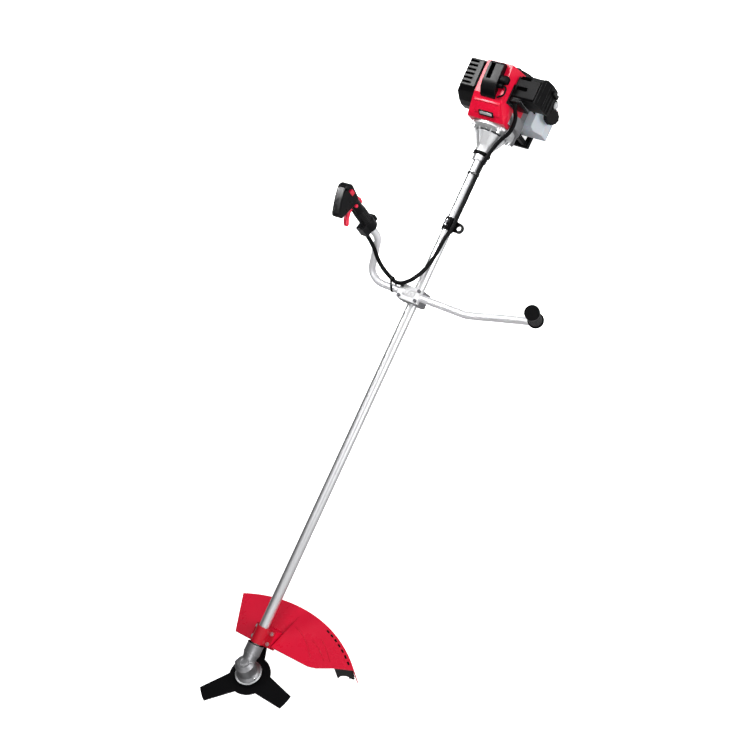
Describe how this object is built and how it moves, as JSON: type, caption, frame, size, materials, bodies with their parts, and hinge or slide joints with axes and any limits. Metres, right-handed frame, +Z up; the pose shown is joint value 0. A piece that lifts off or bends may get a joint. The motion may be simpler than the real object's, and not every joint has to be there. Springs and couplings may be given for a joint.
{
  "type": "brush mower",
  "caption": "Two-stroke brush mower: straight drive tube, bull-horn handlebar with throttle handle, red blade guard and three-tooth blade at an angled gear head.",
  "frame": {"origin": "centre of the harness eye, the hole in the clamp plate beside the drive tube", "axes": "+X along the drive tube towards the blade, +Y to the operator's left, +Z up with the drive tube level"},
  "size_m": [1.7581, 0.5812, 0.4562],
  "materials": {
    "tube_metal": "satin anodised",
    "cast_metal": "cast, bead blasted",
    "head_metal": "dark grey paint over a casting",
    "steel": "machined",
    "zinc_steel": "zinc plated",
    "blade_paint": "black paint",
    "red_plastic": "gloss",
    "bracket_red": "gloss",
    "control_red": "satin",
    "black_plastic": "satin moulding",
    "black_rubber": "matte",
    "flywheel_metal": "cast",
    "ceramic": "glazed",
    "tank_plastic": "milky translucent",
    "bulb_plastic": "translucent",
    "cord_fibre": "braided"
  },
  "bodies": {
    "frame": {"drive_tube": "tube_metal", "tube_bushes": "black_plastic", "head_bearings": "steel", "gear_case": "head_metal", "grease_plug": "zinc_steel", "guard_shell": "red_plastic", "guard_bracket": "bracket_red", "guard_screws": "zinc_steel", "line_cutter": "black_plastic", "handlebar": "tube_metal", "clamp_base": "head_metal", "clamp_middle": "cast_metal", "clamp_cap": "cast_metal", "clamp_bolts": "zinc_steel", "left_grip": "black_rubber", "handle_shells": "black_plastic", "throttle_cable": "black_rubber", "cable_ties": "black_plastic", "harness_clamp": "black_rubber", "damper_ring": "black_rubber", "tube_collar": "tube_metal", "clutch_housing": "cast_metal", "fan_housing": "cast_metal", "crankcase": "cast_metal", "cylinder_block": "cast_metal", "engine_shroud": "red_plastic", "plug_cover": "black_plastic", "spark_plug": "ceramic", "plug_lead": "black_rubber", "muffler": "steel", "muffler_cover": "black_plastic", "carburettor": "flywheel_metal", "filter_base": "black_plastic", "filter_cover": "black_plastic", "fuel_tank": "tank_plastic", "fuel_hose": "black_rubber", "tank_stand": "black_plastic", "recoil_starter": "black_plastic", "flange_bolts": "zinc_steel"},
    "drive_line": {"drive_shaft": "steel", "bevel_pinion": "steel", "clutch_drum": "steel"},
    "blade_head": {"bevel_gear": "steel", "blade_holder": "steel", "blade": "blade_paint", "blade_washer": "steel", "blade_nut": "steel"},
    "crank": {"crankshaft": "steel", "flywheel": "flywheel_metal", "clutch_shoes": "steel"},
    "trigger": {"throttle_trigger": "control_red"},
    "lockout": {"throttle_lockout": "control_red"},
    "latch": {"latch_button": "control_red"},
    "switch": {"stop_switch": "control_red"},
    "throttle_link": {"throttle_arm": "steel"},
    "choke": {"choke_lever": "black_plastic"},
    "primer": {"primer_bulb": "bulb_plastic"},
    "cap": {"fuel_cap": "black_plastic"},
    "starter_grip": {"starter_handle": "black_plastic", "starter_rope": "cord_fibre"}
  },
  "joints": [
    {"name": "drive_spin", "type": "hinge", "parent": "frame", "child": "drive_line", "pos_m": [0, -0.03, 0], "axis": [1, 0, 0], "continuous": true},
    {"name": "blade_spin", "type": "hinge", "parent": "frame", "child": "blade_head", "pos_m": [1.211, -0.03, 0], "axis": [-0.5225, 0, 0.8526], "continuous": true},
    {"name": "crank_spin", "type": "hinge", "parent": "frame", "child": "crank", "pos_m": [-0.275, -0.03, 0], "axis": [1, 0, 0], "continuous": true},
    {"name": "throttle_squeeze", "type": "hinge", "parent": "frame", "child": "trigger", "pos_m": [0.09069, -0.15446, 0.24936], "axis": [0, 0.9814, 0.1917], "range_deg": [0, 18], "stiffness_Nm_per_rad": 0.35, "springref_deg": -6.88},
    {"name": "throttle_arm_turn", "type": "hinge", "parent": "frame", "child": "throttle_link", "pos_m": [-0.353, 0.027, 0.06], "axis": [0, 0, 1], "range_deg": [-36, 0]},
    {"name": "lockout_press", "type": "hinge", "parent": "frame", "child": "lockout", "pos_m": [0.0664, -0.1548, 0.25111], "axis": [0, 0.9814, 0.1917], "range_deg": [-8, 0], "stiffness_Nm_per_rad": 0.4, "springref_deg": 5.73},
    {"name": "latch_press", "type": "slide", "parent": "frame", "child": "latch", "axis": [0, -0.9814, -0.1917], "range_m": [0, 0.0025], "stiffness_N_per_m": 400, "springref_m": -0.001},
    {"name": "switch_slide", "type": "slide", "parent": "frame", "child": "switch", "axis": [-0.2583, -0.1852, 0.9481], "range_m": [0, 0.006]},
    {"name": "choke_turn", "type": "hinge", "parent": "frame", "child": "choke", "pos_m": [-0.389, 0.097, 0.008], "axis": [0, 1, 0], "range_deg": [-75, 0]},
    {"name": "primer_press", "type": "slide", "parent": "frame", "child": "primer", "axis": [0, -1, 0], "range_m": [0, 0.004], "stiffness_N_per_m": 600, "springref_m": -0.001},
    {"name": "cap_turn", "type": "hinge", "parent": "frame", "child": "cap", "pos_m": [-0.366, 0.054, -0.082], "axis": [0, 0.8, 0.6], "range_deg": [0, 270]},
    {"name": "starter_pull", "type": "slide", "parent": "frame", "child": "starter_grip", "axis": [0, 0, 1], "range_m": [0, 0.6], "stiffness_N_per_m": 15, "springref_m": -0.1, "deforming": ["starter_rope"]}
  ],
  "couplings": [
    {"joint": "drive_spin", "follows": "blade_spin", "ratio": -1.3333},
    {"joint": "throttle_arm_turn", "follows": "throttle_squeeze", "ratio": -2}
  ]
}
